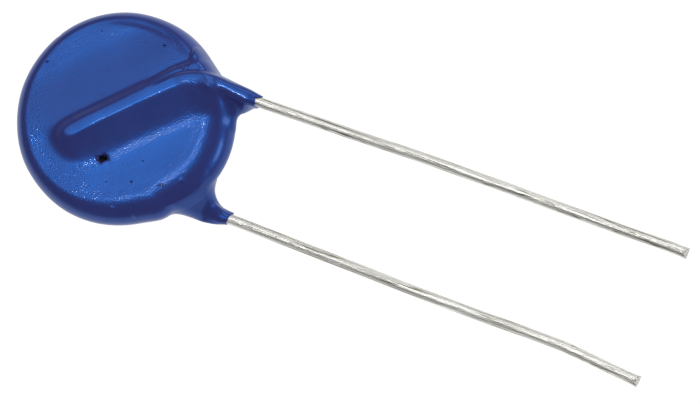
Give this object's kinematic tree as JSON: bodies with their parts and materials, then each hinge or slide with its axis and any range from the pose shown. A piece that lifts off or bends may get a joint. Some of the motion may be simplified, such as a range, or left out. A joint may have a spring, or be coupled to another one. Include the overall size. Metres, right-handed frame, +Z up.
{
  "type": "disc varistor",
  "caption": "Epoxy-dipped disc varistor with two straight tinned wire leads, for clamping voltage surges on a circuit board.",
  "frame": {"origin": "under the middle of the bounding box, on the surface it lies on", "axes": "+X from the disc to the cut tips of the leads, +Z up out of the front face, +Y towards the front lead"},
  "size_m": [0.0497, 0.015, 0.0045],
  "materials": {
    "epoxy": "gloss, blue dipped epoxy",
    "ceramic": "matt, fired zinc oxide ceramic",
    "silver": "matt, fired silver",
    "solder": "satin, tin solder",
    "tinned_wire": "satin, drawn and tinned copper"
  },
  "bodies": {
    "root": {"epoxy_coating": "epoxy", "ceramic_disc": "ceramic", "front_electrode": "silver", "rear_electrode": "silver", "front_solder": "solder", "rear_solder": "solder", "front_lead": "tinned_wire", "rear_lead": "tinned_wire"}
  },
  "joints": []
}
